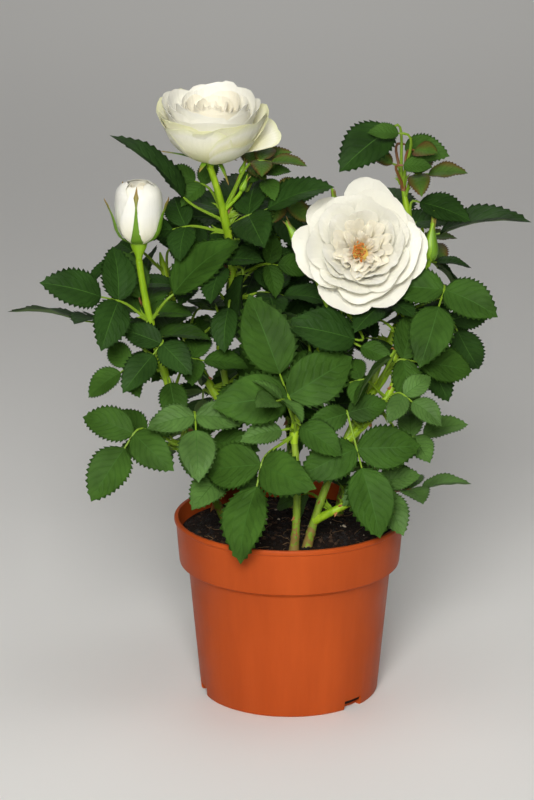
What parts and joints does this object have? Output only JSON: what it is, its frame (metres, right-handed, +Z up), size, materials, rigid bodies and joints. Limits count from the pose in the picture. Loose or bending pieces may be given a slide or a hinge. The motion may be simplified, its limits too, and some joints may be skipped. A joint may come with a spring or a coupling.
{
  "type": "potted rose bush",
  "caption": "White-flowered rose bush in a terracotta-coloured plastic pot: green canes, toothed compound leaves, open blooms and a half-open bud.",
  "frame": {"origin": "centre of the pot's flat underside", "axes": "+Z up, -Y towards the front of the bush, where the open bloom faces, +X to the right seen from the front"},
  "size_m": [0.2671, 0.1851, 0.3209],
  "materials": {
    "pot_plastic": "semi-matte moulded plastic, terracotta orange",
    "compost": "moist dark peat-like compost with fibres and crumbs",
    "stem": "smooth yellow-green young rose wood with small prickles",
    "leaf": "slightly glossy toothed leaves, paler and duller underneath",
    "petal": "soft matte white petals, cream towards the middle"
  },
  "bodies": {
    "root": {"pot": "pot_plastic", "soil": "compost", "cane_left": "stem", "cane_front": "stem", "cane_right": "stem", "cane_back_left": "stem", "cane_back_right": "stem", "cane_back": "stem", "bloom_top": "petal", "bloom_front": "petal", "bud_left": "petal", "foliage_left": "leaf", "foliage_left_low": "leaf", "foliage_centre": "leaf", "foliage_top_left": "leaf", "foliage_right": "leaf", "foliage_right_mid": "leaf", "foliage_right_low": "leaf", "foliage_back": "leaf", "foliage_back_low": "leaf", "foliage_back_left": "leaf", "foliage_back_right": "leaf"}
  },
  "joints": []
}
